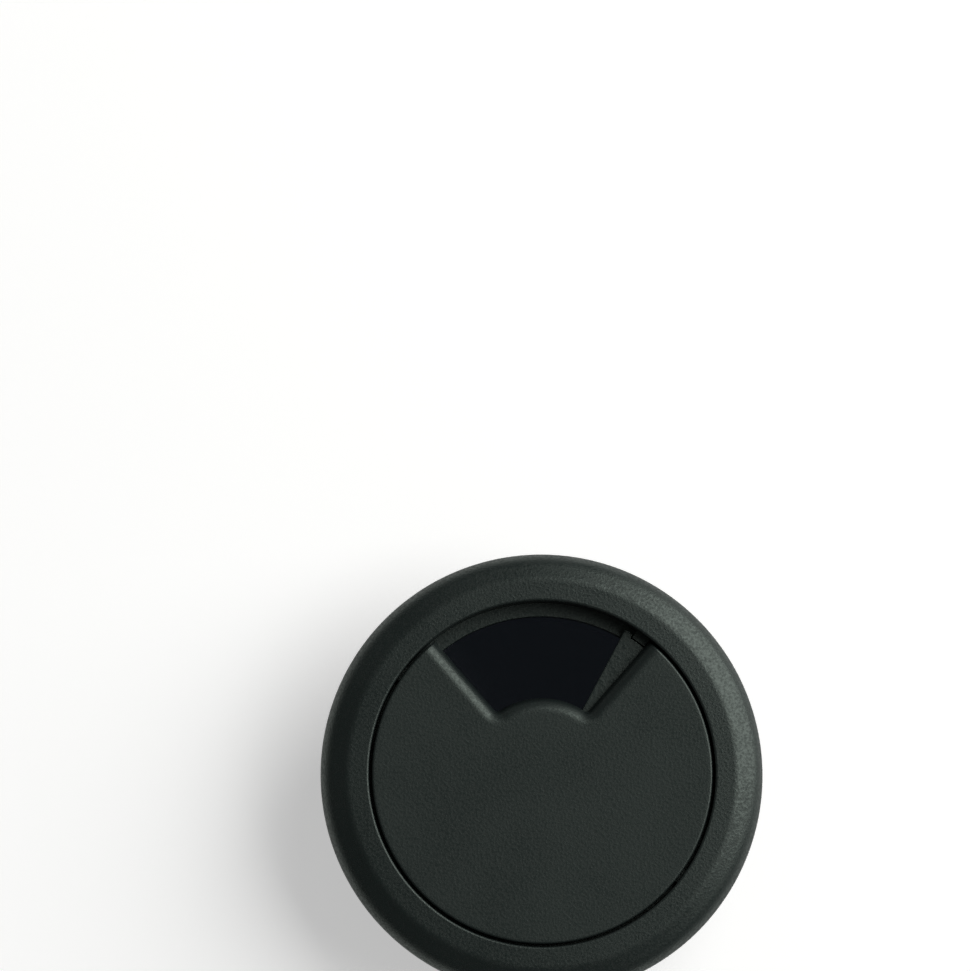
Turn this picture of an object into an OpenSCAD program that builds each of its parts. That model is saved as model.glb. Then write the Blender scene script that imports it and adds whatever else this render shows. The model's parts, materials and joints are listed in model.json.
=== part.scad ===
// Round cable grommet for a desktop: a flanged sleeve, a keyed shutter disc that rests on
// a ledge inside it, and a cap that turns on the shutter to open and close the cable window.
// The origin is on the axis, in the plane of the desktop. +Z is up, +Y is the window.

/* [Desk hole] */
// Diameter of the hole in the desktop
hole_d = 60; // [54:1:90]
// Gap between the sleeve and the hole, on each side
hole_play = 0.5; // [0.4:0.05:0.8]
// How far the sleeve reaches below the desktop
sleeve_len = 19; // [12:1:40]
// Wall of the sleeve below the ledge
sleeve_wall = 1.7; // [1.2:0.1:2.4]
// Lead-in chamfer at the foot of the sleeve
lead_in = 1; // [0.4:0.1:1.5]
// Number of centring ribs on the sleeve
rib_count = 12; // [4:1:24]
// Width of a centring rib
rib_w = 1.6; // [1:0.1:3]
// How far a centring rib stands out, inside the gap to the hole
rib_h = 0.2; // [0.1:0.05:0.35]

/* [Flange] */
// How far the flange reaches past the sleeve
flange_lip = 5.5; // [5:0.1:9]
// Height of the flange above the desktop
flange_h = 3.4; // [3:0.1:5]
// Width of the flat band between the seat and the bevel
crown_flat = 3.5; // [2.5:0.1:4]
// Fall of the bevel from the flat band to the roll-over
crown_drop = 1.3; // [0.9:0.1:1.6]
// Width of the roll-over at the outer edge
edge_roll = 1; // [0.7:0.1:1.4]
// Height at which the roll-over meets the outer edge
edge_land = 0.6; // [0.45:0.05:0.8]
// Blend radius at the start of the bevel
crown_r = 3.5; // [1:0.1:4]
// Blend radius between the bevel and the roll-over
roll_r = 3.2; // [1:0.1:3.4]
// Width of the lip that seats on the desktop
lip_w = 1.8; // [1.4:0.1:2.4]
// Depth of the hollow in the underside
hollow_h = 1.4; // [0.8:0.1:1.8]
// Number of gussets in the hollow
gusset_count = 18; // [6:1:36]
// Thickness of a gusset
gusset_t = 1; // [0.8:0.1:1.6]

/* [Seat] */
// Wall between the sleeve's outside and the seat bore
seat_wall = 2.1; // [1.6:0.1:3]
// Width of the ledge that carries the shutter
ledge_w = 2.2; // [1.5:0.1:3]
// Thickness of the ledge
ledge_t = 1.6; // [1.2:0.1:2.5]
// Number of key lugs in the seat
key_count = 4; // [2:1:6]
// Angle of the first key lug from +X
key_turn = 54; // [45:1:60]
// Width of a key lug, in degrees
key_span = 5.6; // [4:0.2:8]
// How far a key lug reaches in from the seat bore
key_reach = 1.4; // [1.1:0.1:1.8]

/* [Cap] */
// Gap between the cap and the seat bore
cap_gap = 0.45; // [0.3:0.05:0.7]
// Thickness of the cap
cap_t = 2.5; // [2.4:0.1:3]
// How far the cap's face lies below the flange's face
cap_drop = 0.1; // [0:0.05:0.3]
// Half of the window's angle
window_half = 41; // [30:1:44]
// How far each side of the window stands in from a radius
window_inset = 1; // [0.4:0.1:1.6]
// Radius of the hub that the window leaves
hub_r = 12.1; // [10.5:0.1:14]
// Rounding of the window's edges
window_round = 2.3; // [1:0.1:2.3]
// Rounding of the cap's rim and of the seat's mouth
rim_round = 0.35; // [0.2:0.05:0.5]

/* [Shutter] */
// Thickness of the shutter's plate
shutter_t = 1.6; // [1.5:0.1:2.2]
// Gap between the shutter's rim and the seat bore
shutter_gap = 0.7; // [0.5:0.05:0.9]
// Gap between the cap's underside and the shutter
face_gap = 0.15; // [0.1:0.05:0.2]
// How far each side of the shutter's port stands back from a radius
port_back = 0.84; // [0.4:0.02:1.2]
// How much smaller the port's hub is than the window's
port_hub_back = 0.4; // [0.2:0.1:0.8]
// Turn of the port from the window, as stored
port_turn = 13; // [0:1:20]
// Turn of the cap from fully open to closed
cap_travel = 86; // [84:1:92]
// Length of the skirt below the plate
skirt_len = 5.5; // [4.5:0.1:8]
// Thickness of the skirt and of the port's walls
skirt_t = 1.4; // [1:0.1:1.8]
// Gap between the skirt and the ledge
skirt_play = 0.2; // [0.15:0.05:0.4]
// Thickness of a web under the plate
web_t = 1.2; // [0.8:0.1:1.6]
// Depth of a web under the plate
web_h = 2.8; // [1.5:0.1:3.4]
// Clearance around a key lug
key_play = 0.25; // [0.2:0.05:0.4]

/* [Stop] */
// Radius of the stop groove's centre line
stop_r = 17; // [14:0.5:19]
// Radial width of the stop lug
stop_w = 1.8; // [1.4:0.1:2.4]
// Angle that the stop lug covers
stop_span = 7; // [5:0.5:10]
// How far the stop lug reaches below the cap
stop_depth = 1; // [0.8:0.1:1.1]
// Clearance of the stop lug on each side of its groove
stop_play = 0.25; // [0.2:0.05:0.4]
// Angle left free at each end of the stop groove
stop_spare = 0.5; // [0.3:0.1:1]

/* [Pivot] */
// Radius of the pivot post under the cap
post_r = 3.42; // [3:0.02:4]
// Running clearance around the pivot post
post_play = 0.08; // [0.04:0.01:0.1]
// Wall of the shutter's hub around the post
boss_wall = 2.5; // [1.8:0.1:3]
// Length of the shutter's hub below its plate
boss_len = 3.75; // [3:0.05:5]
// Working height of the wave washer
wave_h = 0.8; // [0.6:0.05:1]
// Thickness of the wave washer
wave_t = 0.25; // [0.2:0.05:0.3]
// Number of waves around the washer
wave_count = 3; // [3:1:4]
// Radius of both washers
washer_r = 5.4; // [5:0.1:5.8]
// Thickness of the flat washer
washer_t = 0.6; // [0.5:0.1:1]
// Radius over the screw's thread
screw_r = 1.5; // [1.2:0.1:1.8]
// Depth of the screw's thread
thread_h = 0.35; // [0.25:0.05:0.45]
// Pitch of the screw's thread
thread_pitch = 1; // [0.8:0.1:1.2]
// Length of the screw under its head
screw_len = 6; // [4.5:0.5:6]
// Radius of the screw's head
head_r = 2.9; // [2.6:0.1:3.4]
// Height of the screw's head
head_h = 1.9; // [1.6:0.1:2.2]
// Width of the cross recess
recess_w = 0.9; // [0.7:0.1:1.1]
// Length of the cross recess
recess_len = 3.2; // [2.8:0.1:3.6]
// Depth of the cross recess
recess_h = 1.2; // [0.8:0.1:1.4]

/* [Hidden] */
$fn = 96;

// Radii, from the desk hole inwards and outwards
sleeve_r = hole_d / 2 - hole_play;
sleeve_in = sleeve_r - sleeve_wall;
flange_r = sleeve_r + flange_lip;
seat_r = sleeve_r - seat_wall;
ledge_in = seat_r - ledge_w;
cap_r = seat_r - cap_gap;
shutter_r = seat_r - shutter_gap;
skirt_r = ledge_in - skirt_play;
key_in = seat_r - key_reach;

// Heights, from the flange's face downwards
cap_top = flange_h - cap_drop;
cap_low = cap_top - cap_t;
shutter_top = cap_low - face_gap;
ledge_z = shutter_top - shutter_t;
ledge_low = ledge_z - ledge_t;
key_top = shutter_top - face_gap;
boss_low = ledge_z - boss_len;
post_low = boss_low - wave_h;
washer_low = post_low - washer_t;

// The flange's underside: the gussets stand back from the desktop and root in the walls
hollow_wall = 1.4;
hollow_out = flange_r - lip_w;
hollow_in = sleeve_r + hollow_wall;
gusset_back = 0.3;
gusset_root = 0.2;

// The sleeve's foot, the outer edge and the ribs
edge_r = 1.1;
foot_round = 0.6;
rib_top = -1.5;
rib_low = 2 * lead_in - sleeve_len;
rib_ramp = [1, 2];

// The window's sides meet at an apex on +Y, and the port's hub hides under the window's
window_apex = window_inset / sin(window_half);
port_hub = hub_r - port_hub_back;

// Sockets and stops
bore_r = post_r + post_play;
boss_r = bore_r + boss_wall;
pilot_r = screw_r - thread_h / 2;
pilot_spare = 0.3;
stop_sweep = cap_travel + stop_span + 2 * stop_spare;
stop_half = stop_w / 2;
stop_angle = 270;

// The wave washer: its bore, its rim, and the slack above and below its waves
wave_in = post_r + 0.3;
wave_out = washer_r - 0.2;
wave_slack = 0.02;
wave_mid = (boss_low + post_low) / 2;
wave_rise = (wave_h - wave_t) / 2 - wave_slack;
wave_steps = 72;

// The flat washer's bore and the screw: core, tip, thread's foot and head's rounding
washer_bore = screw_r + 0.25;
core_r = screw_r - thread_h;
tip_r = core_r / 2;
thread_foot = [0.3 * thread_pitch, 0.15 * thread_pitch];
thread_sunk = 0.1;
head_round = 0.6 * head_h;

// How deep a feature roots in the plate or the wall that it grows from
cap_root = cap_t / 4;
shutter_root = shutter_t / 2;
wall_root = sleeve_wall / 2;

// How far a cut reaches past the solid that it cuts
past = 1;
// How far a rounding's circle stands past both faces, so that it meets them at an angle
ease = 0.01;

function unit(v) = v / norm(v);

// What rounding the convex corner at v, between a and b, to a radius takes off the outline
module corner_tip(a, v, b, radius) {
    to_a = unit(a - v);
    to_b = unit(b - v);
    half = acos(to_a * to_b) / 2;
    run = radius / tan(half);
    inward = unit(to_a + to_b);
    clear = inward * past;
    difference() {
        polygon([v + to_a * run, v + to_a * run - clear, v + to_b * run - clear, v + to_b * run]);
        translate(v + inward * radius / sin(half)) circle(radius);
    }
}

// A wedge that opens towards +Y with its sides a distance inset inside the radii
module wedge_2d(half, inset) {
    reach = 2 * flange_r;
    apex = inset / sin(half);
    polygon([
        [0, apex],
        [reach * sin(half), apex + reach * cos(half)],
        [-reach * sin(half), apex + reach * cos(half)]
    ]);
}

// The shutter's port, grown all round
module port_2d(grow = 0) {
    difference() {
        wedge_2d(window_half, -port_back - grow);
        circle(port_hub - grow);
    }
}

// A ring between two radii and two heights, over a sweep of degrees from +X
module ring(r_in, r_out, z_low, z_high, sweep = 360) {
    rotate_extrude(angle = sweep)
        translate([r_in, z_low]) square([r_out - r_in, z_high - z_low]);
}

// ---- liner: flange, seat, ledge and sleeve in one moulding

module liner_section() {
    mouth = [seat_r, flange_h];
    bevel = [seat_r + crown_flat, flange_h];
    roll = [flange_r - edge_roll, flange_h - crown_drop];
    edge = [flange_r, edge_land];
    foot = [flange_r, 0];
    toe = [sleeve_in, -sleeve_len];
    heel = [sleeve_r - lead_in / 2, -sleeve_len];
    difference() {
        polygon([
            [seat_r, ledge_z], mouth, bevel, roll, edge, foot,
            [hollow_out, 0], [hollow_out, hollow_h], [hollow_in, hollow_h], [hollow_in, 0],
            [sleeve_r, 0], [sleeve_r, lead_in - sleeve_len], heel, toe,
            [sleeve_in, ledge_low], [ledge_in, ledge_low], [ledge_in, ledge_z]
        ]);
        corner_tip([seat_r, ledge_z], mouth, bevel, rim_round);
        corner_tip(mouth, bevel, roll, crown_r);
        corner_tip(bevel, roll, edge, roll_r);
        corner_tip(roll, edge, foot, edge_r);
        corner_tip(heel, toe, [sleeve_in, ledge_low], foot_round);
    }
}

module centring_rib() {
    root = sleeve_r - wall_root;
    tip = sleeve_r + rib_h;
    translate([0, rib_w / 2, 0]) rotate([90, 0, 0]) linear_extrude(rib_w)
        polygon([
            [root, rib_top], [sleeve_r, rib_top], [tip, rib_top - rib_ramp[0]],
            [tip, rib_low + rib_ramp[1]], [sleeve_r, rib_low], [root, rib_low]
        ]);
}

module gusset() {
    translate([hollow_in - gusset_root, -gusset_t / 2, gusset_back])
        cube([hollow_out - hollow_in + 2 * gusset_root, gusset_t,
              hollow_h - gusset_back + gusset_root]);
}

module key_lug() {
    rotate(-key_span / 2)
        ring(key_in, seat_r + wall_root, ledge_z - ledge_t / 2, key_top, key_span);
}

module liner() color("#2b2e2e") {
    union() {
        rotate_extrude() liner_section();
        for (i = [0 : rib_count - 1]) rotate(i * 360 / rib_count) centring_rib();
        for (i = [0 : gusset_count - 1]) rotate((i + 0.5) * 360 / gusset_count) gusset();
        for (i = [0 : key_count - 1]) rotate(key_turn + i * 360 / key_count) key_lug();
    }
}

// ---- shutter disc: a keyed plate with a port, a skirt, webs and the pivot's hub

module shutter_walls_2d() {
    intersection() {
        circle(skirt_r);
        union() {
            difference() {
                circle(skirt_r);
                circle(skirt_r - skirt_t);
            }
            difference() {
                port_2d(skirt_t);
                circle(port_hub - skirt_t);
            }
        }
    }
}

module key_notch() {
    gap_span = key_span + 2 * key_play / key_in * 180 / PI;
    rotate(-gap_span / 2)
        ring(key_in - key_play, seat_r + past, ledge_z - past, shutter_top + past, gap_span);
}

// The groove is turned back by the port's turn, so that the cap's lug starts inside it
module stop_groove() {
    low = shutter_top - stop_depth - stop_play;
    rotate(stop_angle - cap_travel + port_turn - stop_span / 2 - stop_spare)
        ring(stop_r - stop_half - stop_play, stop_r + stop_half + stop_play,
             low, shutter_top + past, stop_sweep);
}

module shutter_disc() color("#34383a") {
    webs = [180 : 45 : 360];
    web_in = bore_r + boss_wall / 2;
    web_out = skirt_r - skirt_t / 2;
    difference() {
        union() {
            ring(0, shutter_r, ledge_z, shutter_top);
            rotate(port_turn) translate([0, 0, ledge_z - skirt_len])
                linear_extrude(skirt_len + shutter_root) shutter_walls_2d();
            ring(0, boss_r, boss_low, shutter_top - face_gap);
            rotate(port_turn) for (a = webs) rotate(a)
                translate([web_in, -web_t / 2, ledge_z - web_h])
                    cube([web_out - web_in, web_t, web_h + shutter_root]);
        }
        rotate(port_turn) translate([0, 0, ledge_z - skirt_len - past])
            linear_extrude(skirt_len + shutter_t + 2 * past) port_2d();
        ring(0, bore_r, boss_low - past, shutter_top + past);
        for (i = [0 : key_count - 1]) rotate(key_turn + i * 360 / key_count) key_notch();
        stop_groove();
    }
}

// ---- cap: the plate that shows, with its window, pivot post and stop lug

// The open side of a rolled edge: x runs from the wall into the plate, y up from its face
module rolled_2d() {
    low = -cap_t - past;
    reach = 2 * flange_r;
    difference() {
        translate([-reach, low]) square([reach + window_round - ease, past - low]);
        translate([0, low]) square([window_round, ease - window_round - low]);
        translate([window_round - ease, ease - window_round]) circle(window_round);
    }
}

// All that lies beyond one side of the window, with that side's edge rolled
module side_cut() {
    translate([0, window_apex, 0]) rotate([90, 0, -window_half])
        linear_extrude(4 * flange_r, center = true) rolled_2d();
}

// All that lies outside the hub, with the hub's edge rolled
module hub_cut() {
    rotate_extrude() translate([hub_r, 0]) mirror([1, 0]) rolled_2d();
}

module window_cut() {
    translate([0, 0, cap_top]) intersection() {
        side_cut();
        mirror([1, 0, 0]) side_cut();
        hub_cut();
    }
}

module cap() color("#2d3031") {
    difference() {
        union() {
            rotate_extrude() difference() {
                translate([0, cap_low]) square([cap_r, cap_t]);
                corner_tip([0, cap_top], [cap_r, cap_top], [cap_r, cap_low], rim_round);
            }
            ring(0, post_r, post_low, cap_low + cap_root);
            rotate(stop_angle - stop_span / 2)
                ring(stop_r - stop_half, stop_r + stop_half, cap_low - stop_depth,
                     cap_low + cap_root, stop_span);
        }
        window_cut();
        ring(0, pilot_r, post_low - past, washer_low + screw_len + pilot_spare);
    }
}

// ---- pivot hardware: wave washer, flat washer and pan-head screw

// Height of the washer's middle at station i of its waves
function wave_z(i) = wave_mid + wave_rise * cos(i * 360 / wave_steps * wave_count);

// The four corners of the washer's section at station i: inner low, outer low, outer high, inner high
function wave_corners(i) =
    let (a = i * 360 / wave_steps, half = wave_t / 2)
    [for (k = [[wave_in, -half], [wave_out, -half], [wave_out, half], [wave_in, half]])
        [k[0] * cos(a), k[0] * sin(a), wave_z(i) + k[1]]];

// The two triangles that join side k of station i to the next station
function wave_faces(i, k) =
    let (next = (i + 1) % wave_steps, b = (k + 1) % 4)
    [[4 * i + k, 4 * i + b, 4 * next + b], [4 * i + k, 4 * next + b, 4 * next + k]];

module wave_washer() color("#b9bcbe") {
    points = [for (i = [0 : wave_steps - 1]) each wave_corners(i)];
    faces = [for (i = [0 : wave_steps - 1], k = [0 : 3]) each wave_faces(i, k)];
    polyhedron(points, faces, convexity = 6);
}

module flat_washer() color("#c3c6c8") {
    ring(washer_bore, washer_r, washer_low, post_low);
}

module pivot_screw() color("#aeb2b5") {
    turns = floor((screw_len - tip_r - thread_foot[1]) / thread_pitch);
    tip_z = washer_low + screw_len;
    head_low = washer_low - head_h;
    head_mid = washer_low - head_h / 2;
    difference() {
        rotate_extrude() {
            polygon([[0, head_mid], [core_r, head_mid], [core_r, tip_z - tip_r], [tip_r, tip_z],
                     [0, tip_z]]);
            for (i = [1 : turns]) translate([core_r, washer_low + i * thread_pitch])
                polygon([[-thread_sunk, -thread_foot[0]], [thread_h, 0],
                         [-thread_sunk, thread_foot[1]]]);
            difference() {
                translate([0, head_low]) square([head_r, head_h]);
                corner_tip([0, head_low], [head_r, head_low], [head_r, washer_low], head_round);
            }
        }
        for (a = [0, 90]) rotate(a)
            translate([-recess_len / 2, -recess_w / 2, head_low - past])
                cube([recess_len, recess_w, recess_h + past]);
    }
}

liner();
shutter_disc();
cap();
wave_washer();
flat_washer();
pivot_screw();
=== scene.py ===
"""Desk grommet: the surfaces of its mouldings and pivot hardware, their finishes, and the studio.

Every size is in metres, in the frame's own axes: +Z is up, +Y is the cable window.
"""

import json
import math

import bpy
import numpy as np
from bpy.props import FloatProperty, FloatVectorProperty, IntProperty, PointerProperty
from bpy.types import Operator, Panel, PropertyGroup
from mathutils import Matrix, Vector


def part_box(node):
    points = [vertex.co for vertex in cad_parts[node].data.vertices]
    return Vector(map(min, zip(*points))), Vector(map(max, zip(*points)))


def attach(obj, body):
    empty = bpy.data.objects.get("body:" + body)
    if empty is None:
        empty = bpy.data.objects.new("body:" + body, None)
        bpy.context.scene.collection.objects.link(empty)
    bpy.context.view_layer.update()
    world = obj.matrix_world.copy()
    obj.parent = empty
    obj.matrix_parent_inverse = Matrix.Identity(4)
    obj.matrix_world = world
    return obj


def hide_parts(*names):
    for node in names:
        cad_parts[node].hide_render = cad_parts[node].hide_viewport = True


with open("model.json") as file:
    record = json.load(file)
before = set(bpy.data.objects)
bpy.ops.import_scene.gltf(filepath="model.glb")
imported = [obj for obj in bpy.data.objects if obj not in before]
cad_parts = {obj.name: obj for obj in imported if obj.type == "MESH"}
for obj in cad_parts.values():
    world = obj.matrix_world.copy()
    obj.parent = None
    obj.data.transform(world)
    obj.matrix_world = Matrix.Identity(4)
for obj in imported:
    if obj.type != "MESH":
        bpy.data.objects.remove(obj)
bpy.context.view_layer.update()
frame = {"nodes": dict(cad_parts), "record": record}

bl_info = {
    "name": "Desk grommet",
    "version": (1, 0, 0),
    "blender": (4, 5, 0),
    "location": "3D View > Sidebar > Grommet",
    "description": "Builds a desk grommet's mouldings, pivot, finishes and studio round its CAD frame",
    "category": "Object",
}

MM = 0.001
STEPS_PER_MM = 20  # a CAD node's box is read to the nearest 0.05 mm
TAU = 2 * math.pi
STRAIGHT = 0.04 * MM  # straight step kept beside each rounding, so that flat faces shade flat
ARRIS = 0.12 * MM  # rounding of a moulded outside edge
ROOT = 0.12 * MM  # rounding of a moulded inside edge
WALL_END = 2 * MM  # how far the layers within a long wall stand from its ends
BLEND = math.radians(0.45)  # turn over which a rib, lug or notch rises to its full height
SHARP = math.radians(38)  # two faces that meet at more than this shade as an edge


# ---- sizes and colours that a user would change


def linear(code):
    """Linear colour of an sRGB hex value, by the sRGB curve."""
    parts = [int(code[i : i + 2], 16) / 255 for i in (0, 2, 4)]
    return [p / 12.92 if p <= 0.04045 else ((p + 0.055) / 1.055) ** 2.4 for p in parts]


def box_edge(node, end, axis):
    """Where a CAD node's box ends, in rounded millimetres: end 0 is its low end and 1 its high end."""
    return round(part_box(node)[end][axis] / MM * STEPS_PER_MM) / STEPS_PER_MM


def length(name, description, value):
    """A length property whose default is given in millimetres."""
    return FloatProperty(
        name=name, description=description, default=value * MM, precision=5,
        unit="LENGTH", subtype="DISTANCE",
    )


def angle(name, description, value):
    """An angle property whose default is given in degrees."""
    return FloatProperty(
        name=name, description=description, default=math.radians(value), unit="ROTATION", subtype="ANGLE"
    )


def count(name, description, value):
    """A whole-number property."""
    return IntProperty(name=name, description=description, default=value, min=1)


def amount(name, description, value):
    """A plain number: a share or a strength."""
    return FloatProperty(name=name, description=description, default=value, min=0)


def colour(name, description, code):
    """A colour property whose default is an sRGB hex value."""
    return FloatVectorProperty(
        name=name, description=description, default=linear(code), size=3, min=0, max=1, subtype="COLOR"
    )


class LinerSizes(PropertyGroup):
    """Sizes of the liner."""

    flange_r: length("Flange radius", "Radius of the flange", box_edge("liner", 1, 0))
    flange_h: length("Flange height", "Height of the flange's face", box_edge("liner", 1, 2))
    foot_z: length("Foot", "Height of the sleeve's foot", box_edge("liner", 0, 2))
    sleeve_r: length(
        "Sleeve radius", "Outside radius of the sleeve", frame["record"]["mounts"][0]["dims"]["r_mm"]
    )
    seat_wall: length("Seat wall", "Wall between the sleeve's outside and the seat bore", 2.1)
    sleeve_wall: length("Sleeve wall", "Wall of the sleeve below the ledge", 1.7)
    ledge_z: length("Ledge", "Height of the ledge that carries the shutter", -0.95)
    ledge_w: length("Ledge width", "Width of the ledge", 2.2)
    ledge_t: length("Ledge thickness", "Thickness of the ledge", 1.6)
    crown_flat: length("Flat band", "Width of the flat band round the seat", 3.5)
    crown_fall: length("Flat band's fall", "How far the flat band falls outwards", 0.14)
    crown_drop: length("Bevel fall", "Fall of the bevel from the flat band to the roll-over", 1.3)
    crown_round: length("Bevel blend", "Blend radius at the start of the bevel", 3.5)
    roll_w: length("Roll-over width", "Width of the roll-over at the outer edge", 1.0)
    roll_round: length("Roll-over blend", "Blend radius between the bevel and the roll-over", 3.2)
    edge_land: length("Edge land", "Height at which the roll-over meets the outer edge", 0.6)
    edge_round: length("Edge blend", "Blend radius above the outer edge's land", 1.1)
    mouth_round: length("Mouth rounding", "Rounding of the seat's mouth", 0.35)
    lip_w: length("Lip width", "Width of the lip that seats on the desktop", 1.8)
    hollow_wall: length("Hollow's inner wall", "Wall between the sleeve's outside and the hollow", 1.4)
    hollow_h: length("Hollow depth", "Depth of the hollow in the flange's underside", 1.4)
    lead_in: length("Lead-in", "Chamfer at the foot of the sleeve", 1.0)
    foot_round: length("Foot rounding", "Rounding inside the sleeve's foot", 0.6)
    rib_count: count("Centring ribs", "Number of centring ribs on the sleeve", 12)
    rib_w: length("Rib width", "Width of a centring rib", 1.6)
    rib_h: length("Rib height", "How far a centring rib stands out", 0.2)
    gusset_count: count("Gussets", "Number of gussets in the hollow", 18)
    gusset_t: length("Gusset thickness", "Thickness of a gusset", 1.0)
    gusset_back: length("Gusset stand-back", "How far a gusset stays off the desktop", 0.3)
    key_count: count("Key lugs", "Number of key lugs in the seat", 4)
    key_turn: angle("First key lug", "Angle of the first key lug from +X", 54)
    key_span: angle("Key lug span", "Width of a key lug", 5.6)
    key_reach: length("Key lug reach", "How far a key lug reaches in from the seat bore", 1.4)
    key_top: length("Key lug height", "Height of the key lugs' tops", 0.5)


class ShutterSizes(PropertyGroup):
    """Sizes of the shutter disc."""

    rim_r: length("Shutter radius", "Radius of the shutter's plate", box_edge("shutter_disc", 1, 0))
    top_z: length("Shutter face", "Height of the shutter's face", box_edge("shutter_disc", 1, 2))
    foot_z: length("Skirt's foot", "Height of the skirt's foot", box_edge("shutter_disc", 0, 2))
    plate_t: length("Plate thickness", "Thickness of the shutter's plate", 1.6)
    port_half: angle("Port half-angle", "Half of the port's angle", 41)
    port_turn: angle("Port turn", "Turn of the port from the window, as stored", 13)
    port_back: length("Port stand-back", "How far the port's sides stand back from a radius", 0.84)
    port_hub: length("Port hub radius", "Radius of the hub that the port leaves", 11.7)
    corner_r: length("Corner rounding", "Rounding in plan where the hub meets a side", 0.5)
    skirt_in: length("Skirt step", "How far the skirt stands in from the plate's rim", 1.7)
    skirt_t: length("Skirt thickness", "Thickness of the skirt and of the port's walls", 1.4)
    bore_r: length("Bore radius", "Radius of the bore round the cap's post", 3.5)
    boss_r: length("Boss radius", "Radius of the boss round the bore", 6.0)
    boss_len: length("Boss length", "Length of the boss below the plate", 3.75)
    web_t: length("Web thickness", "Thickness of a web under the plate", 1.2)
    web_h: length("Web depth", "Depth of a web under the plate", 2.8)
    notch_in: length("Notch depth", "How far a key notch reaches in from the rim", 0.84)
    notch_half: angle("Notch half-span", "Half of the angle that a key notch covers", 3.15)
    groove_r: length("Groove radius", "Radius of the stop groove's centre line", 17)
    groove_w: length("Groove width", "Width of the stop groove", 2.3)
    groove_h: length("Groove depth", "Depth of the stop groove", 1.25)
    groove_low: angle("Groove start", "Where the stop groove starts, from +X", 193)
    groove_high: angle("Groove end", "Where the stop groove ends, from +X", 287)


class CapSizes(PropertyGroup):
    """Sizes of the cap."""

    rim_r: length("Cap radius", "Radius of the cap", box_edge("cap", 1, 0))
    top_z: length("Cap face", "Height of the cap's face", box_edge("cap", 1, 2))
    post_z: length("Post's foot", "Height of the pivot post's foot", box_edge("cap", 0, 2))
    plate_t: length("Plate thickness", "Thickness of the cap", 2.5)
    window_half: angle("Window half-angle", "Half of the window's angle", 41)
    window_inset: length("Window inset", "How far the window's sides stand in from a radius", 1.0)
    hub_r: length("Hub radius", "Radius of the hub that the window leaves", 12.1)
    corner_r: length("Corner rounding", "Rounding in plan where the hub meets a side", 0.7)
    window_round: length("Rolled edge", "Rounding of the window's edges", 2.3)
    rim_round: length("Rim rounding", "Rounding of the cap's rim", 0.35)
    post_r: length("Post radius", "Radius of the pivot post", 3.42)
    pilot_r: length("Pilot radius", "Radius of the screw's pilot hole", 1.325)
    pilot_top: length("Pilot's end", "Height of the pilot hole's end", 0.2)
    stop_r: length("Stop radius", "Radius at the middle of the stop lug", 17)
    stop_w: length("Stop width", "Width of the stop lug", 1.8)
    stop_span: angle("Stop span", "Angle that the stop lug covers", 7)
    stop_h: length("Stop depth", "How far the stop lug reaches below the cap", 1.0)


class PivotSizes(PropertyGroup):
    """Sizes of the two washers."""

    flat_in: length("Flat washer bore", "Bore radius of the flat washer", 1.75)
    flat_out: length("Flat washer radius", "Outside radius of the flat washer", 5.4)
    flat_low: length("Flat washer's underside", "Height of its underside", box_edge("flat_washer", 0, 2))
    flat_t: length("Flat washer thickness", "Thickness of the flat washer", 0.6)
    flat_edge: length("Flat washer's edge", "Rounding of its punched edge", 0.1)
    wave_in: length("Wave washer bore", "Bore radius of the wave washer", 3.72)
    wave_out: length("Wave washer radius", "Outside radius of the wave washer", 5.2)
    wave_mid: length("Wave washer's middle", "Height of the middle of its waves", -5.1)
    wave_t: length("Wave washer thickness", "Thickness of the wave washer", 0.25)
    wave_rise: length("Wave height", "How far a wave rises from the middle", 0.255)
    wave_edge: length("Wave washer's edge", "Rounding of its punched edge", 0.05)
    wave_count: count("Waves", "Number of waves round the washer", 3)


class FinishSettings(PropertyGroup):
    """Colours and grain of the finishes."""

    plastic: colour("Plastic", "Colour of the moulded plastic", "0E1314")
    plastic_high: colour("Plastic, high grain", "Colour on the tops of the spark-eroded grain", "1A2120")
    grain: length("Grain", "Spacing of the spark-eroded pits", 0.42)
    grain_h: length("Grain depth", "Depth of the spark-eroded pits", 0.04)
    gloss: amount("Plastic roughness", "Roughness of the plastic between its pits", 0.41)
    cap_grain_h: length("Cap's grain depth", "Depth of the pits on the cap, which is smoother", 0.03)
    cap_gloss: amount("Cap's roughness", "Roughness of the cap between its pits", 0.415)
    sheen: colour("Plastic's sheen", "Tint of the light that the plastic's skin reflects", "EFFFF3")
    spring_steel: colour("Spring steel", "Colour of the wave washer", "A9ABA8")
    zinc: colour("Zinc plate", "Colour of the screw and of the flat washer", "C3C8CC")


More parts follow.
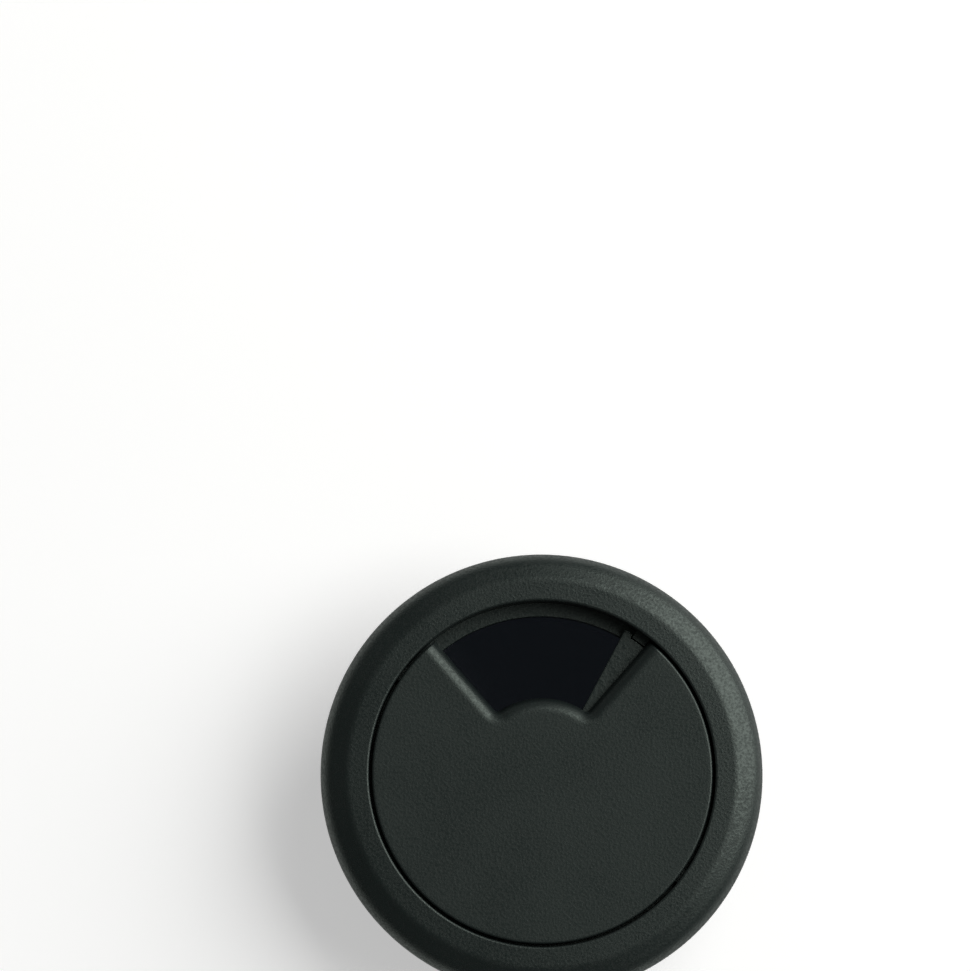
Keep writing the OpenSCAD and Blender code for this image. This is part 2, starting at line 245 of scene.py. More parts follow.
class StageSettings(PropertyGroup):
    """The floor, the room below it, the lamp, the sky and the camera."""

    floor: colour("Floor", "Colour of the floor", "E4E4E2")
    floor_glow: amount("Floor glow", "Light that the floor adds to its own where it is seen", 0.45)
    pit: colour("Room below the desk", "Colour of the room under the desktop", "82868A")
    # painted light: the pit glows faintly by emission, though it is no lamp, in place of the light under the
    # desk
    pit_painted_glow: colour("Glow below the desk", "Faint light of the room under the desktop", "0A0C0F")
    key_turn: angle("Key lamp's turn", "Direction of the key lamp, from +X", 28)
    key_rise: angle("Key lamp's rise", "Height of the key lamp above the horizon", 41)
    key_far: length("Key lamp's distance", "Distance of the key lamp", 1600)
    key_size: length("Key lamp's size", "Side of the key lamp's square face", 1700)
    key_power: FloatProperty(
        name="Key lamp's power", description="Power of the key lamp", default=32.8, unit="POWER"
    )
    sky_high: amount("Sky overhead", "Strength of the sky overhead", 0.08)
    sky_low: amount("Sky at the horizon", "Strength of the sky at the horizon", 0.5)
    camera_far: length("Camera distance", "Distance from the camera to the grommet", 1600)
    view_w: length("View width", "Width of the picture at the grommet", 153.75)
    lean_x: angle("Camera lean, X", "How far the camera leans towards -X", 1.8)
    lean_y: angle("Camera lean, Y", "How far the camera leans towards -Y", 4)
    aim_x: length("Camera aim, X", "Where the camera aims, from the axis", -9.05)
    aim_y: length("Camera aim, Y", "Where the camera aims, from the axis", 45.67)


# ---- outlines, turns and skins


def fillet(corners, steps=5):
    """Outline through corners (x, y, radius), each but the first and last made an arc.

    An arc touches both sides of its corner. Its centre lies on the corner's bisector, at
    radius / sin(half the corner). Its points are the directions to the two touching points, mixed by the
    sines of their shares of the angle between them.
    """
    rows = np.asarray(corners, float)
    at, radius = rows[1:-1, :2], rows[1:-1, 2:]
    back, ahead = rows[:-2, :2] - at, rows[2:, :2] - at
    back /= np.linalg.norm(back, axis=1, keepdims=True)
    ahead /= np.linalg.norm(ahead, axis=1, keepdims=True)
    half = np.arccos((back * ahead).sum(axis=1, keepdims=True)) / 2
    run = radius / np.tan(half)
    middle = back + ahead
    centre = at + middle / np.linalg.norm(middle, axis=1, keepdims=True) * radius / np.sin(half)
    sweep = math.pi - 2 * half
    share = np.linspace(0, 1, steps + 1)
    first = (np.sin((1 - share) * sweep) / np.sin(sweep))[..., None] * (at + back * run - centre)[:, None]
    last = (np.sin(share * sweep) / np.sin(sweep))[..., None] * (at + ahead * run - centre)[:, None]
    lead = (at + back * (run + STRAIGHT))[:, None]
    tail = (at + ahead * (run + STRAIGHT))[:, None]
    points = np.concatenate([lead, centre[:, None] + first + last, tail], axis=1)
    return np.concatenate([rows[:1, :2], points.reshape(-1, 2), rows[-1:, :2]])


def quarter(radius, steps=4):
    """A quarter-round's distances in from the wall and away from the face, from the face to the wall."""
    bend = np.linspace(0, math.pi / 2, steps + 1)
    return np.column_stack([radius * (1 - np.sin(bend)), radius * (1 - np.cos(bend))])


def around(number, first=0.0):
    """Evenly spaced turns of a whole circle."""
    return first + np.arange(number) * TAU / number


def off_centre(turn, centres):
    """Each turn's angle, with its sign, from the nearest of the centres."""
    off = (turn[:, None] - np.asarray(centres)[None, :] + math.pi) % TAU - math.pi
    return off[np.arange(len(turn)), np.abs(off).argmin(axis=1)]


def gate(turn, centres, half):
    """1 within half of a centre and 0 outside, with a smooth step as wide as BLEND at each end."""
    t = np.clip((half - np.abs(off_centre(turn, centres))) / BLEND + 0.5, 0, 1)
    return t * t * (3 - 2 * t)


def gate_edges(centres, half):
    """Turns that a gate's smooth steps need: four across each step."""
    step = half + BLEND * np.array([-0.5, -0.2, 0.2, 0.5])
    return (np.asarray(centres)[:, None] + np.concatenate([-step, step])).ravel()


def stations(low, high, number, edges):
    """Turns from low to high: even ones, less those that crowd an edge, and the edges themselves."""
    even = np.linspace(low, high, number)
    spacing = (high - low) / (number - 1)
    clear = spacing * 0.4  # the nearest that an even turn may come to an edge
    inside = edges[(edges > low + BLEND / 2) & (edges < high - BLEND / 2)]
    if not len(inside):
        return even
    keep = np.abs(even[:, None] - inside).min(axis=1) > clear
    keep[[0, -1]] = True
    return np.sort(np.concatenate([even[keep], inside]))


def turned(turn, radius, height):
    """Points (turns, section, 3) of a section carried round the axis, which may differ from turn to turn."""
    turn = turn[:, None]
    return np.stack([radius * np.cos(turn), radius * np.sin(turn), height + 0 * turn], axis=-1)


def skin(name, grid, wrap):
    """Mesh object over a grid of points (rows, columns, 3).

    Columns close on themselves. Rows close too if wrap is set, and otherwise end in one point each, at the
    middle of the first and of the last row. The faces are turned over if their signed volume is negative.
    """
    if not np.isfinite(grid).all():
        raise RuntimeError(f"{name}: a size gives the surface points that have no place")
    rows, columns = grid.shape[:2]
    index = np.arange(rows * columns).reshape(rows, columns)
    beside = np.roll(index, -1, axis=1)
    above, above_beside = np.roll(index, -1, axis=0), np.roll(beside, -1, axis=0)
    quads = np.stack([index, beside, above_beside, above], axis=-1)[: None if wrap else -1].reshape(-1, 4)
    points = grid.reshape(-1, 3)
    fans = np.empty((0, 3), int)
    if not wrap:
        points = np.concatenate([points, grid[[0, -1]].mean(axis=1)])
        first, last = np.full(columns, rows * columns), np.full(columns, rows * columns + 1)
        fans = np.concatenate([
            np.stack([first, beside[0], index[0]], axis=-1), np.stack([last, index[-1], beside[-1]], axis=-1)
        ])
    thirds = np.concatenate([quads[:, :3], quads[:, [0, 2, 3]], fans])
    a, b, c = (points[thirds[:, i]] for i in range(3))
    if (np.cross(a, b) * c).sum() < 0:
        quads, fans = quads[:, ::-1], fans[:, ::-1]
    mesh = bpy.data.meshes.new(name)
    mesh.from_pydata(points.tolist(), [], quads.tolist() + fans.tolist())
    mesh.shade_smooth()
    mesh.set_sharp_from_angle(angle=SHARP)
    piece = bpy.data.objects.new(name, mesh)
    bpy.context.scene.collection.objects.link(piece)
    return piece


def stand_for(piece, node, body, finish):
    """Puts a finished piece in the place of a CAD node, on that node's body."""
    piece.data.materials.append(finish)
    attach(piece, body)
    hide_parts(node)


# ---- liner


def liner_grid(s):
    """The liner's surface: its section carried round the axis and changed by what stands at each turn.

    Where a key lug stands, its section takes over from the plain one. A gusset's gate lowers the hollow's
    roof, and a rib's gate times its ramp widens the sleeve.
    """
    seat_r = s.sleeve_r - s.seat_wall
    ledge_in, key_in = seat_r - s.ledge_w, seat_r - s.key_reach
    sleeve_in, ledge_low = s.sleeve_r - s.sleeve_wall, s.ledge_z - s.ledge_t
    hollow_out, hollow_in = s.flange_r - s.lip_w, s.sleeve_r + s.hollow_wall
    # a rib rises between the first two of these heights and runs out between the last two
    ramp_z = [s.foot_z + 2 * s.lead_in, s.foot_z + 4 * s.lead_in, -2.5 * MM, -1.5 * MM]
    base, stop = [key_in, s.ledge_z, 0], [seat_r, s.key_top, 0]
    plain = fillet([base, [seat_r, s.ledge_z, ROOT], stop])
    lug = fillet([base, [key_in, s.key_top, ARRIS], stop])
    outside = fillet([
        stop,
        [seat_r, s.flange_h, s.mouth_round],
        [seat_r + s.crown_flat, s.flange_h - s.crown_fall, s.crown_round],
        [s.flange_r - s.roll_w, s.flange_h - s.crown_drop, s.roll_round],
        [s.flange_r, s.edge_land, s.edge_round],
        [s.flange_r, 0, ARRIS],
        [hollow_out, 0, ARRIS],
        [hollow_out, s.hollow_h, ROOT],
        [hollow_in, s.hollow_h, ROOT],
        [hollow_in, 0, ARRIS],
        [s.sleeve_r, 0, ROOT],
        [s.sleeve_r, ramp_z[3] + STRAIGHT, 0],
    ])
    column = np.column_stack([np.full(4, s.sleeve_r), ramp_z[::-1]])
    inside = fillet([
        [s.sleeve_r, ramp_z[0] - STRAIGHT, 0],
        [s.sleeve_r, s.foot_z + s.lead_in, ARRIS],
        [s.sleeve_r - s.lead_in / 2, s.foot_z, ARRIS],
        [sleeve_in, s.foot_z, s.foot_round],
        [sleeve_in, ledge_low, ROOT],
        [ledge_in, ledge_low, ARRIS],
        [ledge_in, s.ledge_z, ARRIS],
        base,
    ])
    rest = np.concatenate([outside[1:], column, inside[:-1]])
    plain, lug = np.concatenate([plain, rest]), np.concatenate([lug, rest])

    keys, ribs = around(s.key_count, s.key_turn), around(s.rib_count)
    gussets = around(s.gusset_count, math.pi / s.gusset_count)
    rib_half, gusset_half = s.rib_w / 2 / s.sleeve_r, s.gusset_t / (hollow_in + hollow_out)
    edges = np.concatenate([
        gate_edges(keys, s.key_span / 2), gate_edges(ribs, rib_half), gate_edges(gussets, gusset_half)
    ])
    even_turns = 240
    turn = stations(0, TAU, even_turns + 1, edges % TAU)[:-1]
    section = plain + gate(turn, keys, s.key_span / 2)[:, None, None] * (lug - plain)
    radius, height = section[..., 0], section[..., 1]
    in_hollow = (plain[:, 0] > hollow_in - ARRIS) & (plain[:, 0] < hollow_out + ARRIS)
    in_hollow &= (plain[:, 1] < s.hollow_h + STRAIGHT) & (plain[:, 1] > 0)
    lowered = 1 - gate(turn, gussets, gusset_half)[:, None] * (1 - s.gusset_back / s.hollow_h)
    height = np.where(in_hollow, height * lowered, height)
    on_sleeve = (plain[:, 0] > s.sleeve_r - STRAIGHT) & (plain[:, 1] < -MM)
    ramp = np.interp(plain[:, 1], ramp_z, [0, 1, 1, 0]) * on_sleeve
    return turned(turn, radius + gate(turn, ribs, rib_half)[:, None] * ramp * s.rib_h, height)


# ---- discs with a wedge-shaped window


class NotchedDisc:
    """Outlines of a disc with a wedge-shaped window towards +Y, at any distance inside its edges.

    Each outline has the same stations: along the rim from the bottom to the window, down the window's side,
    round the corner at its root and along the hub, then the same in mirror image. An outline that moves
    inwards shifts the side along its normal, shrinks the hub and widens the corner about one centre, so that
    nothing crosses.
    """

    spread = math.radians(14)  # turn of the rim that follows the window's corner as it moves
    even_to = math.radians(10)  # up to this turn, a circle about the axis keeps the rim's own turns
    landing = [math.radians(a) for a in (14, 22, 47)]  # where a side's two ends and its corner's end land
    rim_steps, side_steps, corner_steps, hub_steps = 60, 12, 8, 20

    def __init__(self, rim_r, half, inset, hub, corner_r, near_rim, near_side, edges, dents=None):
        self.rim_r, self.hub, self.corner_r, self.dents = rim_r, hub, corner_r, dents
        self.near_side = np.asarray(near_side)
        self.along = np.array([math.sin(half), math.cos(half)])
        self.inward = np.array([math.cos(half), -math.sin(half)])
        self.apex = np.array([0, inset / math.sin(half)])
        self.root_run, _ = self.meet(-corner_r, hub + corner_r)
        self.centre = self.apex - self.inward * corner_r + self.along * self.root_run
        self.mouth = self.meet(0, rim_r)[1]
        near = self.mouth - np.asarray(near_rim) / rim_r
        self.rims = []
        for local in (edges, math.pi - edges):
            even = stations(-math.pi / 2, near[-1], self.rim_steps, (local + math.pi) % TAU - math.pi)
            self.rims.append(np.concatenate([even, near[-2::-1]]))
        halves = [self.landed(rim) for rim in self.rims]
        self.turn = np.concatenate([halves[0], math.pi - halves[1][::-1][1:-1]])
        on_rim = [np.arange(len(h)) < len(r) for h, r in zip(halves, self.rims)]
        self.on_rim = np.concatenate([on_rim[0], on_rim[1][::-1][1:-1]])

    def meet(self, inside, radius):
        """Where the side's line, moved inwards, meets a circle: the run along it, and the turn there."""
        line = self.apex + self.inward * inside
        lean = self.along @ line
        run = -lean + math.sqrt(lean**2 - line @ line + radius**2)
        corner = line + self.along * run
        return run, math.atan2(corner[1], corner[0])

    def landed(self, rim):
        """Turns that a half's stations take on a circle about the axis."""
        low, mid, high = self.landing
        return np.concatenate([
            np.interp(rim, [-math.pi / 2, self.even_to, self.mouth], [-math.pi / 2, self.even_to, low]),
            np.linspace(low, mid, len(self.near_side) + self.side_steps)[1:-1],
            np.linspace(mid, high, self.corner_steps + 1)[1:],
            np.linspace(high, math.pi / 2, self.hub_steps)[1:],
        ])

    def rim_at(self, turn, inside, side):
        """The rim's radius at each turn, less its dents, which fade out over a distance inside the rim."""
        radius = self.rim_r - inside + 0 * turn
        if self.dents:
            centres, half, depth, fade = self.dents
            local = centres if side == 0 else math.pi - centres
            radius = radius - depth * max(0, 1 - inside / fade) * gate(turn, local, half)
        return radius

    def half_outline(self, inside, rim_inside, side):
        """One half of the outline, as a right-hand half: rim, side, corner and hub."""
        run, turn_there = self.meet(inside, self.rim_at(np.array([self.mouth]), rim_inside, side)[0])
        turn = self.rims[side]
        turn = turn + (turn_there - self.mouth) * np.clip(1 - (self.mouth - turn) / self.spread, 0, 1)
        rim = self.rim_at(turn, rim_inside, side)[:, None] * np.column_stack([np.cos(turn), np.sin(turn)])
        near = run - self.near_side
        even = np.linspace(near[-1], self.root_run, self.side_steps)[1:-1]
        flank = self.apex + self.inward * inside + np.concatenate([near, even])[:, None] * self.along
        ends = [math.atan2(self.inward[1], self.inward[0]), math.atan2(-self.centre[1], -self.centre[0])]
        bend = np.linspace(*ends, self.corner_steps)
        corner = self.centre + (self.corner_r + inside) * np.column_stack([np.cos(bend), np.sin(bend)])
        over = np.linspace(math.atan2(self.centre[1], self.centre[0]), math.pi / 2, self.hub_steps)[1:]
        hub = (self.hub - inside) * np.column_stack([np.cos(over), np.sin(over)])
        return np.concatenate([rim, flank, corner, hub])

    def outline(self, inside, rim_inside):
        """Closed outline at these distances inside the window and the rim."""
        left = self.half_outline(inside, rim_inside, 1) * [-1, 1]
        return np.concatenate([self.half_outline(inside, rim_inside, 0), left[::-1][1:-1]])

    def circle(self, radius, turn=None):
        """The stations' places on a circle about the axis."""
        turn = self.turn if turn is None else turn
        return radius * np.column_stack([np.cos(turn), np.sin(turn)])

    def inside_side(self, at):
        """How far points lie inside the nearer side of the window."""
        return (np.column_stack([np.abs(at[:, 0]), at[:, 1]]) - self.apex) @ self.inward


def fall(inside, radius):
    """A rounded edge's drop at a distance inside its wall: the radius less the circle's height there."""
    return radius - np.sqrt(radius**2 - np.clip(radius - inside, 0, radius) ** 2)


def between(outer, inner, radii, heights):
    """Layers on straight lines from an outer outline to an inner circle.

    They stand where the first station's line crosses each radius. Each has its own height, or row of heights.
    """
    reach, near = np.linalg.norm(outer[0]), np.linalg.norm(inner[0])
    return [(outer + (inner - outer) * (reach - r) / (reach - near), z) for r, z in zip(radii, heights)]


def layered(layers):
    """One grid from (points, heights) pairs."""
    return np.stack([np.column_stack([at, np.broadcast_to(z, len(at))]) for at, z in layers])


def cap_grid(s):
    """The cap's surface: outlines moved in from its edges, with the face's height above each.

    The face is level, less the fall of the rolled window edge and less the fall of the rim. Under the plate
    the lines run in to the post's circle, and the stop lug's gate lowers two of their layers. Layers at
    fixed radii only split a broad face.
    """
    top, low = s.top_z, s.top_z - s.plate_t
    beside_roll, beside_rim = 0.3 * MM, 0.4 * MM  # level strips beside the two roundings
    margin = 0.5 * MM  # from the plate's edges in to the first layer under it
    roll, rim = quarter(s.window_round, 10)[:, 0], quarter(s.rim_round, 10)[:, 0]
    edge, root = quarter(ARRIS), quarter(ROOT)
    disc = NotchedDisc(
        s.rim_r, s.window_half, s.window_inset, s.hub_r, s.corner_r,
        near_rim=np.append(roll[::-1], s.window_round + beside_roll),
        near_side=np.append(rim[-3::-2], s.rim_round + beside_rim / 2),
        edges=gate_edges([-math.pi / 2], s.stop_span / 2),
    )

    def face(inside, rim_inside):
        """An outline and its heights: the face's, less the falls of the two roundings there."""
        at = disc.outline(inside, rim_inside)
        window = np.where(disc.on_rim, disc.inside_side(at), inside)
        rim_side = np.where(disc.on_rim, rim_inside, s.rim_r - np.linalg.norm(at, axis=1))
        height = top - fall(window, s.window_round) - fall(rim_side, s.rim_round)
        return at, np.maximum(height, low + ARRIS + STRAIGHT)

    start = face(s.window_round + beside_roll, s.rim_round + beside_rim)
    centre_r, face_r = np.array([0.5, 3, 6]) * MM, np.array([8, 14, 20, 25]) * MM
    layers = [(disc.circle(r), top) for r in centre_r]
    layers += between(start[0], disc.circle(face_r[0]), face_r, [top] * len(face_r))
    layers += [start] + [face(a, b) for a, b in zip(roll, rim)]
    layers += [(disc.outline(b, b), low + a) for a, b in edge]
    under, post = disc.outline(margin, margin), disc.circle(s.post_r + ROOT)
    wall = s.stop_w / 2 + STRAIGHT * np.array([1, -1])
    lug_r = [*(s.stop_r + wall), *(s.stop_r - wall[::-1])]
    lug = s.stop_h * gate(disc.turn, [-math.pi / 2], s.stop_span / 2)
    layers += between(
        under, post, [s.rim_r - margin, *lug_r, 12 * MM, 7 * MM],
        [low, low, low - lug, low - lug, low, low, low],
    )
    layers += [(disc.circle(s.post_r + a), low - b) for a, b in root]
    layers += [(disc.circle(s.post_r), z) for z in (low - WALL_END, s.post_z + WALL_END)]
    layers += [(disc.circle(s.post_r - b), s.post_z + a) for a, b in edge]
    layers += [(disc.circle(s.pilot_r + a), s.post_z + b) for a, b in edge]
    layers += [(disc.circle(s.pilot_r), z) for z in (s.post_z + WALL_END, s.pilot_top)]
    layers += [(disc.circle(s.pilot_r / 2), s.pilot_top)]
    return layered(layers)


def square_sided(turn, centres, far, near, reach):
    """Turns on a small circle that keep a web's sides parallel.

    The half-span far, which the web has on the large circle, becomes near, and the change fades out at reach.
    """
    off = off_centre(turn, centres)
    size, step = np.abs(off), BLEND / 2 * np.array([-1, 1])
    moved = np.interp(size, [0, *(far + step), reach], [0, *(near + step * near / far), reach])
    return turn + np.sign(off) * np.where(size < reach, moved - size, 0)


def shutter_grid(s):
    """The shutter's surface: its face, over the rim, down the skirt, in under the plate and up the bore.

    On the window's side the wall is one plane from the face to the skirt's foot. On the rim's side it steps
    in under the plate. Gates sink the stop groove, dent the rim at the keys and lower the webs, whose sides
    stay parallel. Layers at fixed radii only split a broad face.
    """
    ledge_z, local = s.top_z - s.plate_t, -s.port_turn
    boss_low, web_low = ledge_z - s.boss_len, ledge_z - s.web_h
    edge, root = quarter(ARRIS), quarter(ROOT)
    margin = 0.3 * MM  # from the plate's edges in to the first layer on its face
    web_root = web_low - 0.15 * MM  # the layer on the walls just below the webs
    strips = [0.15 * MM, 0.4 * MM]  # how far stations stand from the corners of rim and port
    webs = np.radians([0, 180, 225, 270, 315])  # all on the side away from the port
    skirt_inner = s.rim_r - s.skirt_in - s.skirt_t
    web_far, web_near = (math.asin(s.web_t / 2 / r) for r in (skirt_inner, s.boss_r))
    liner = bpy.context.scene.grommet_liner
    notches = around(liner.key_count, liner.key_turn + local)
    groove_mid, groove_half = (s.groove_low + s.groove_high) / 2 + local, (s.groove_high - s.groove_low) / 2
    disc = NotchedDisc(
        s.rim_r, s.port_half, -s.port_back, s.port_hub, s.corner_r,
        near_rim=[0, *strips], near_side=strips,
        edges=np.concatenate([
            gate_edges(notches, s.notch_half), gate_edges([groove_mid], groove_half),
            gate_edges(webs, web_far),
        ]),
        dents=(notches, s.notch_half, s.notch_in, s.skirt_in),
    )
    groove = s.top_z - s.groove_h * gate(disc.turn, [groove_mid], groove_half)
    draft = 0.03 * MM
    groove_wall = s.groove_w / 2 + draft * np.array([-1, 1])
    groove_r = [*(s.groove_r - groove_wall[::-1]), *(s.groove_r + groove_wall)]
    bore, start = disc.circle(s.bore_r + ARRIS), disc.outline(margin, margin)
    layers = [(disc.circle(s.bore_r + b), s.top_z - a) for a, b in edge[:-1]]
    layers += between(
        start, bore, [s.bore_r + ARRIS, 8 * MM, *groove_r, 22 * MM],
        [s.top_z, s.top_z, s.top_z, groove, groove, s.top_z, s.top_z],
    )
    layers += [(start, s.top_z)] + [(disc.outline(a, a), s.top_z - b) for a, b in edge]

    down = [(b, ledge_z + a) for a, b in edge]
    down += [(s.skirt_in + a, ledge_z - b) for a, b in root] + [(s.skirt_in, s.foot_z + WALL_END)]
    wall_z = np.linspace(s.top_z - 2 * ARRIS, s.foot_z + 2 * ARRIS, len(down))
    layers += [(disc.outline(0, e), np.where(disc.on_rim, z, w)) for (e, z), w in zip(down, wall_z)]
    layers += [(disc.outline(b, s.skirt_in + b), s.foot_z + a) for a, b in edge]

    web = gate(disc.turn, webs, web_far)

    def webbed(z):
        """A height, lowered to the webs' foot where a web stands."""
        return z - web * max(0, z - web_low)

    def inner_wall(inside):
        """The outline of the hollow within the skirt and the port's walls."""
        return disc.outline(s.skirt_t + inside, s.skirt_in + s.skirt_t + inside)

    layers += [(inner_wall(-a), s.foot_z + b) for a, b in edge] + [(inner_wall(0), web_root)]
    layers += [(inner_wall(b), webbed(ledge_z - a)) for a, b in root]
    close = square_sided(disc.turn, webs, web_far, web_near, disc.even_to)
    layers += between(
        inner_wall(ROOT), disc.circle(s.boss_r + ROOT, close), [19 * MM, 13 * MM, 9 * MM],
        [webbed(ledge_z)] * 3,
    )
    layers += [(disc.circle(s.boss_r + a, close), webbed(ledge_z - b)) for a, b in root]
    layers += [(disc.circle(s.boss_r, close), web_root)]
    layers += [(disc.circle(s.boss_r - b, close), boss_low + a) for a, b in edge]
    layers += [(disc.circle(s.bore_r + a), boss_low + b) for a, b in edge]
    grid = layered(layers)
    cos, sin = math.cos(s.port_turn), math.sin(s.port_turn)
    grid[..., :2] = grid[..., :2] @ np.array([[cos, sin], [-sin, cos]])
    return grid


# ---- washers


def washer_grid(inner, outer, middle, thick, edge, rise=0.0, waves=1):
    """A washer's surface: its rounded section carried round the axis, and raised by a cosine of the turn."""
    half, centre = thick / 2, (inner + outer) / 2
    section = fillet([
        [centre, -half, 0], [outer, -half, edge], [outer, half, edge], [inner, half, edge],
        [inner, -half, edge], [centre, -half, 0],
    ])[:-1]
    turn = around(192)
    return turned(turn, section[:, 0], section[:, 1] + (middle + rise * np.cos(waves * turn))[:, None])


# ---- finishes


def add(tree, kind, inputs, **settings):
    """Adds a shader node: settings go on the node, and each input takes a value or another node's output."""
    made = tree.nodes.new(f"ShaderNode{kind}")
    for name, value in settings.items():
        setattr(made, name, value)
    for socket, value in inputs.items():
        if isinstance(value, bpy.types.NodeSocket):
            tree.links.new(value, made.inputs[socket])
        else:
            made.inputs[socket].default_value = value
    return made


def new_finish(name):
    """A material with only its output node, and that node."""
    material = bpy.data.materials.new(name)
    material.use_nodes = True
    material.node_tree.nodes.clear()
    return material, material.node_tree, material.node_tree.nodes.new("ShaderNodeOutputMaterial")


def spark_eroded_abs(name, s, grain_h, gloss):
    """ABS moulded in a spark-eroded tool, self-coloured black.

    The tool's fine craters leave a dull skin that scatters a lamp into one broad soft glow, broken into
    specks by the tops of the grain. The skin's gloss drifts a little from place to place, as the melt packed
    the tool.
    """
    material, tree, out = new_finish(name)
    place = add(tree, "TexCoord", {}).outputs["Object"]
    # real pits are about 0.1 mm apart, too fine to show, so they are drawn coarser and deeper
    grain = add(tree, "TexNoise", {"Vector": place, "Scale": 1 / s.grain, "Detail": 1.5})
    drift = add(tree, "TexNoise", {"Vector": place, "Scale": 1 / (11 * MM), "Detail": 2})
    pits, tops = 0.35, 0.68  # the noise's levels at the bottom of a pit and at a top between pits
    fine = add(tree, "MapRange", {"Value": grain.outputs["Fac"], "From Min": pits, "From Max": tops})
    # colour sockets of the mixing node: 0 is its factor, 6 and 7 its two colours, and output 2 its result
    shade = add(
        tree, "Mix", {0: fine.outputs["Result"], 6: [*s.plastic, 1], 7: [*s.plastic_high, 1]},
        data_type="RGBA",
    )
    polish = 3 * grain_h / MM  # a deeper grain has duller pits and shinier tops
    rough_fine = add(tree, "MapRange", {
        "Value": grain.outputs["Fac"], "From Min": pits, "From Max": tops,
        "To Min": gloss + polish, "To Max": gloss - polish,
    })
    rough_drift = add(tree, "MapRange", {
        "Value": drift.outputs["Fac"], "From Min": 0.3, "From Max": 0.7, "To Min": -0.03, "To Max": 0.03,
    })
    rough = add(
        tree, "Math", {0: rough_fine.outputs["Result"], 1: rough_drift.outputs["Result"]}, operation="ADD"
    )
    bump = add(tree, "Bump", {"Strength": 1, "Distance": grain_h, "Height": grain.outputs["Fac"]})
    shader = add(tree, "BsdfPrincipled", {
        "Base Color": shade.outputs[2], "Roughness": rough.outputs[0], "IOR": 1.53,
        "Specular Tint": [*s.sheen, 1], "Normal": bump.outputs["Normal"],
    })
    tree.links.new(shader.outputs["BSDF"], out.inputs["Surface"])
    return material


def rolled_spring_steel(s):
    """Hardened spring steel, punched from bright rolled strip.

    The rolls leave fine straight lines along the strip, so the flat faces show a soft streak across them.
    """
    material, tree, out = new_finish("rolled_spring_steel")
    place = add(tree, "TexCoord", {}).outputs["Object"]
    # real roll lines are about 0.01 mm apart, too fine to show, so they are drawn coarser
    strip = add(tree, "Mapping", {"Vector": place, "Scale": (1 / (3 * MM), 1 / (0.06 * MM), 1 / (0.5 * MM))})
    lines = add(tree, "TexNoise", {"Vector": strip.outputs["Vector"], "Scale": 1, "Detail": 3})
    tint = add(tree, "MapRange", {
        "Value": lines.outputs["Fac"], "From Min": 0.3, "From Max": 0.7, "To Min": 0.8, "To Max": 1.05,
    })
    shade = add(tree, "VectorMath", {0: s.spring_steel, "Scale": tint.outputs["Result"]}, operation="SCALE")
    rough = add(tree, "MapRange", {
        "Value": lines.outputs["Fac"], "From Min": 0.3, "From Max": 0.7, "To Min": 0.22, "To Max": 0.36,
    })
    bump = add(tree, "Bump", {"Strength": 0.5, "Distance": 0.004 * MM, "Height": lines.outputs["Fac"]})
    shader = add(tree, "BsdfPrincipled", {
        "Base Color": shade.outputs["Vector"], "Metallic": 1, "Roughness": rough.outputs["Result"],
        "Normal": bump.outputs["Normal"],
    })
    tree.links.new(shader.outputs["BSDF"], out.inputs["Surface"])
    return material


def zinc_plated_steel(s):
    """Bright zinc plate over cold-formed steel.

    The plate is bluish and even, with faint cloudy patches and the dulled specks of barrel plating.
    """
    material, tree, out = new_finish("zinc_plated_steel")
    place = add(tree, "TexCoord", {}).outputs["Object"]
    cloud = add(tree, "TexNoise", {"Vector": place, "Scale": 1 / (1.6 * MM), "Detail": 2})
    # real specks are about 0.02 mm across, too fine to show, so they are drawn coarser
    speck = add(tree, "TexNoise", {"Vector": place, "Scale": 1 / (0.12 * MM), "Detail": 2})
    tint = add(tree, "MapRange", {
        "Value": cloud.outputs["Fac"], "From Min": 0.3, "From Max": 0.7, "To Min": 0.82, "To Max": 1.0,
    })
    shade = add(tree, "VectorMath", {0: s.zinc, "Scale": tint.outputs["Result"]}, operation="SCALE")
    rough = add(tree, "MapRange", {
        "Value": speck.outputs["Fac"], "From Min": 0.35, "From Max": 0.7, "To Min": 0.24, "To Max": 0.4,
    })
    bump = add(tree, "Bump", {"Strength": 0.4, "Distance": 0.006 * MM, "Height": speck.outputs["Fac"]})
    shader = add(tree, "BsdfPrincipled", {
        "Base Color": shade.outputs["Vector"], "Metallic": 1, "Roughness": rough.outputs["Result"],
        "Normal": bump.outputs["Normal"],
    })
    tree.links.new(shader.outputs["BSDF"], out.inputs["Surface"])
    return material


# ---- stage


def floor_finish(s):
    """Plain pale laminate: a matt even white, which keeps the grommet's shadow.

    Where it is seen, straight, mirrored or through something clear, it adds an even glow of its own, so that
    the open floor is white.
    """
    material, tree, out = new_finish("floor_laminate")
    path = add(tree, "LightPath", {})
    seen = path.outputs["Is Camera Ray"]
    for ray in ("Is Glossy Ray", "Is Transmission Ray"):
        seen = add(tree, "Math", {0: seen, 1: path.outputs[ray]}, operation="MAXIMUM").outputs[0]
    glow = add(tree, "Math", {0: seen, 1: s.floor_glow}, operation="MULTIPLY")
    lit = add(tree, "BsdfDiffuse", {"Color": [*s.floor, 1]})
    own = add(tree, "Emission", {"Color": [1, 1, 1, 1], "Strength": glow.outputs[0]})
    both = add(tree, "AddShader", {0: lit.outputs[0], 1: own.outputs[0]})
    tree.links.new(both.outputs[0], out.inputs["Surface"])
    return material


def pit_finish(s):
    """The dim room below a desktop: matt grey, with a faint painted glow in place of the light under the
    desk.
    """
    material, tree, out = new_finish("pit_paint")
    lit = add(tree, "BsdfDiffuse", {"Color": [*s.pit, 1]})
    # painted glow: the pit gives off a faint light of its own, standing in for the light that comes in under
    # the desk
    own = add(tree, "Emission", {"Color": [*s.pit_painted_glow, 1], "Strength": 1})
    both = add(tree, "AddShader", {0: lit.outputs[0], 1: own.outputs[0]})
    tree.links.new(both.outputs[0], out.inputs["Surface"])
    return material


